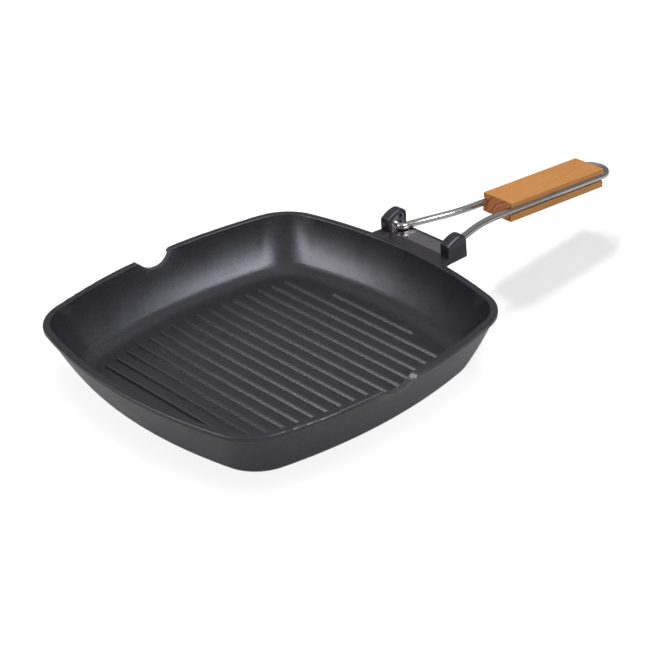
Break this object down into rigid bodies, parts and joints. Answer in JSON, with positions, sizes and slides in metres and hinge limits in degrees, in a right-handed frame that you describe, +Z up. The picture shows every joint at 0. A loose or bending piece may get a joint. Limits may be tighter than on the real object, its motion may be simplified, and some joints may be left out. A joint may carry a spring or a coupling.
{
  "type": "grill pan",
  "caption": "Square ribbed cast grill pan with two pouring notches and a fold-over wire handle with a wooden grip.",
  "frame": {"origin": "centre of the pan's flat base, on the surface it stands on", "axes": "+X towards the handle at rest, +Y across the pan, +Z up"},
  "size_m": [0.4974, 0.2796, 0.0605],
  "materials": {
    "pan_coating": "dark non-stick coating, satin, finely speckled",
    "bracket_steel": "polished",
    "fastener_steel": "zinc plated",
    "wire_steel": "polished",
    "grip_wood": "oiled beech"
  },
  "bodies": {
    "pan": {"pan_body": "pan_coating", "hinge_bracket": "bracket_steel", "bracket_studs": "fastener_steel", "stud_washers": "fastener_steel", "cap_nuts": "fastener_steel"},
    "handle": {"wire_handle": "wire_steel", "wood_grip": "grip_wood"}
  },
  "joints": [
    {"name": "handle_fold", "type": "hinge", "parent": "pan", "child": "handle", "pos_m": [0.1551, 0, 0.04805], "axis": [0, -1, 0], "range_deg": [0, 184]}
  ]
}
